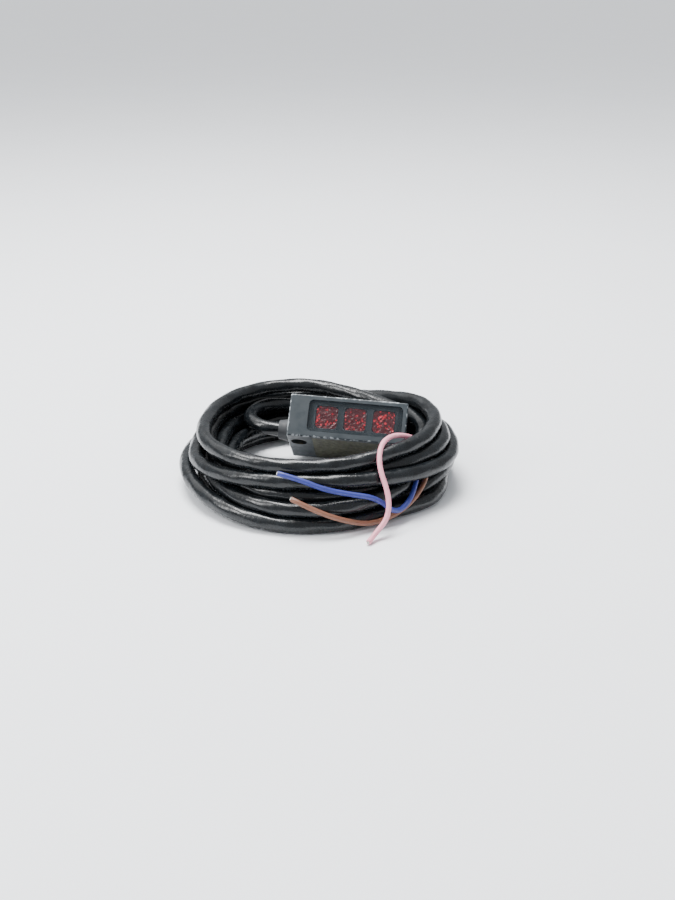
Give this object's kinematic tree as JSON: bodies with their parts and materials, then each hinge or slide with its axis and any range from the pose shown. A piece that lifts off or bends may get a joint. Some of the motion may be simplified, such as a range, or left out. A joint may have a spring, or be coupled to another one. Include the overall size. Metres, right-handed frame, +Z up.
{
  "type": "photoelectric sensor",
  "caption": "Miniature rectangular photoelectric sensor head with a windowed front face, resting in the loose coil of its own pre-wired cable with stripped cores.",
  "frame": {"origin": "middle of the footprint of the tilted head, on the surface that the head and the cable rest on", "axes": "+Z up from that surface, +X along the head from its cable end to its control end, +Y away from the window face"},
  "size_m": [0.0756, 0.0727, 0.0229],
  "materials": {
    "case_plastic": "fine moulded texture, worn edges",
    "cover_plastic": "fine moulded texture",
    "label_film": "satin printed film, blank",
    "clear_panel": "polished, smoky",
    "mask_film": "matt black print",
    "insert_brass": "machined",
    "holder_plastic": "matt black",
    "red_window": "polished, faceted",
    "chip_resin": "clear resin",
    "circuit_board": "solder mask",
    "shield_steel": "tinned sheet",
    "orange_led": "clear resin",
    "green_led": "clear resin",
    "clear_guide": "polished",
    "lead_insulation": "smooth PVC",
    "control_plastic": "moulded",
    "dial_plastic": "moulded",
    "seal_rubber": "soft",
    "gland_rubber": "matt",
    "clamp_steel": "plated",
    "cable_jacket": "satin PVC",
    "pink_insulation": "satin PVC",
    "blue_insulation": "satin PVC",
    "brown_insulation": "satin PVC",
    "black_insulation": "satin PVC"
  },
  "bodies": {
    "root": {"housing": "case_plastic", "rear_cover": "cover_plastic", "rating_label": "label_film", "lens_cover": "clear_panel", "window_mask": "mask_film", "near_insert": "insert_brass", "far_insert": "insert_brass", "optics_holder": "holder_plastic", "emitter_lens": "red_window", "near_receiver_lens": "red_window", "far_receiver_lens": "red_window", "emitter_chip": "chip_resin", "near_receiver_chip": "chip_resin", "far_receiver_chip": "chip_resin", "main_board": "circuit_board", "control_board": "circuit_board", "indicator_board": "circuit_board", "signal_shield": "shield_steel", "operation_led": "orange_led", "stability_led": "green_led", "light_guide": "clear_guide", "inner_leads": "lead_insulation", "sensitivity_pot": "control_plastic", "mode_switch": "control_plastic", "dial_seals": "seal_rubber", "cable_gland": "gland_rubber", "cable_clamp": "clamp_steel", "cable_lead": "cable_jacket", "cable_coil": "cable_jacket", "wire_pink": "pink_insulation", "wire_blue": "blue_insulation", "wire_brown": "brown_insulation", "wire_black": "black_insulation"},
    "sensitivity_dial": {"sensitivity_dial": "dial_plastic"},
    "mode_dial": {"mode_dial": "dial_plastic"}
  },
  "joints": [
    {"name": "sensitivity_turn", "type": "hinge", "parent": "root", "child": "sensitivity_dial", "pos_m": [0.01419, -0.00228, 0.00813], "axis": [0.9929, -0.1096, -0.0471], "range_deg": [-120, 120]},
    {"name": "mode_turn", "type": "hinge", "parent": "root", "child": "mode_dial", "pos_m": [0.01472, 0.00091, 0.01182], "axis": [0.9929, -0.1096, -0.0471], "range_deg": [0, 90]}
  ]
}
